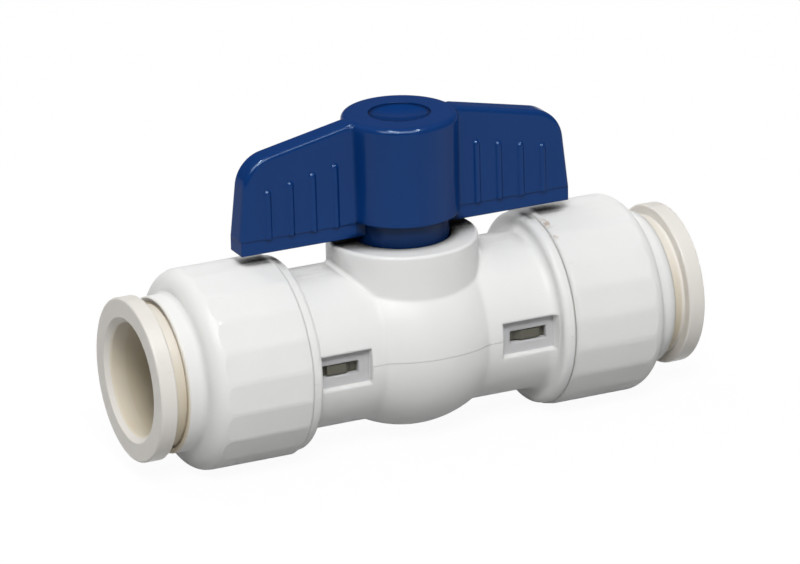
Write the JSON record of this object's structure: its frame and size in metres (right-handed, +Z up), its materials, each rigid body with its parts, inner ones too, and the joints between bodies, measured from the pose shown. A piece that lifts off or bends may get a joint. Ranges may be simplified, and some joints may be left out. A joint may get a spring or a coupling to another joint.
{
  "type": "push-fit ball valve",
  "caption": "White moulded quarter-turn ball valve with push-fit tube sockets, ivory release collets and a blue ribbed lever handle.",
  "frame": {"origin": "on the supporting surface under the crossing of the flow axis and the stem axis; the bottom flats of the end caps rest on Z = 0", "axes": "+X along the flow axis, +Z up along the stem axis, the open handle along X"},
  "size_m": [0.1182, 0.0396, 0.0651],
  "materials": {
    "white_pvc": "glossy moulded white",
    "ivory_acetal": "satin moulded ivory",
    "blue_handle": "glossy moulded dark blue",
    "steel": "bright stainless",
    "rubber": "matte black",
    "seat_ptfe": "waxy white",
    "olive_acetal": "satin dark olive grey",
    "ball_pvc": "smooth light grey"
  },
  "bodies": {
    "body": {"valve_body": "white_pvc", "thrust_washer": "seat_ptfe", "end_cap_left": "white_pvc", "tube_o_ring_left": "rubber", "backup_ring_left": "olive_acetal", "seat_carrier_left": "olive_acetal", "carrier_inner_o_ring_left": "rubber", "carrier_outer_o_ring_left": "rubber", "ball_seat_left": "seat_ptfe", "end_cap_right": "white_pvc", "tube_o_ring_right": "rubber", "backup_ring_right": "olive_acetal", "seat_carrier_right": "olive_acetal", "carrier_inner_o_ring_right": "rubber", "carrier_outer_o_ring_right": "rubber", "ball_seat_right": "seat_ptfe"},
    "handle": {"handle": "blue_handle", "handle_cap": "blue_handle", "handle_screw": "steel", "stem": "ball_pvc", "stem_o_ring_lower": "rubber", "stem_o_ring_upper": "rubber", "ball": "ball_pvc"},
    "collet_left": {"collet_left": "ivory_acetal", "collet_teeth_left": "steel"},
    "collet_right": {"collet_right": "ivory_acetal", "collet_teeth_right": "steel"}
  },
  "joints": [
    {"name": "handle_turn", "type": "hinge", "parent": "body", "child": "handle", "pos_m": [0, 0, 0.03], "axis": [0, 0, 1], "range_deg": [-90, 0]},
    {"name": "collet_left_slide", "type": "slide", "parent": "body", "child": "collet_left", "axis": [1, 0, 0], "range_m": [0, 0.0016]},
    {"name": "collet_right_slide", "type": "slide", "parent": "body", "child": "collet_right", "axis": [-1, 0, 0], "range_m": [0, 0.0016]}
  ]
}
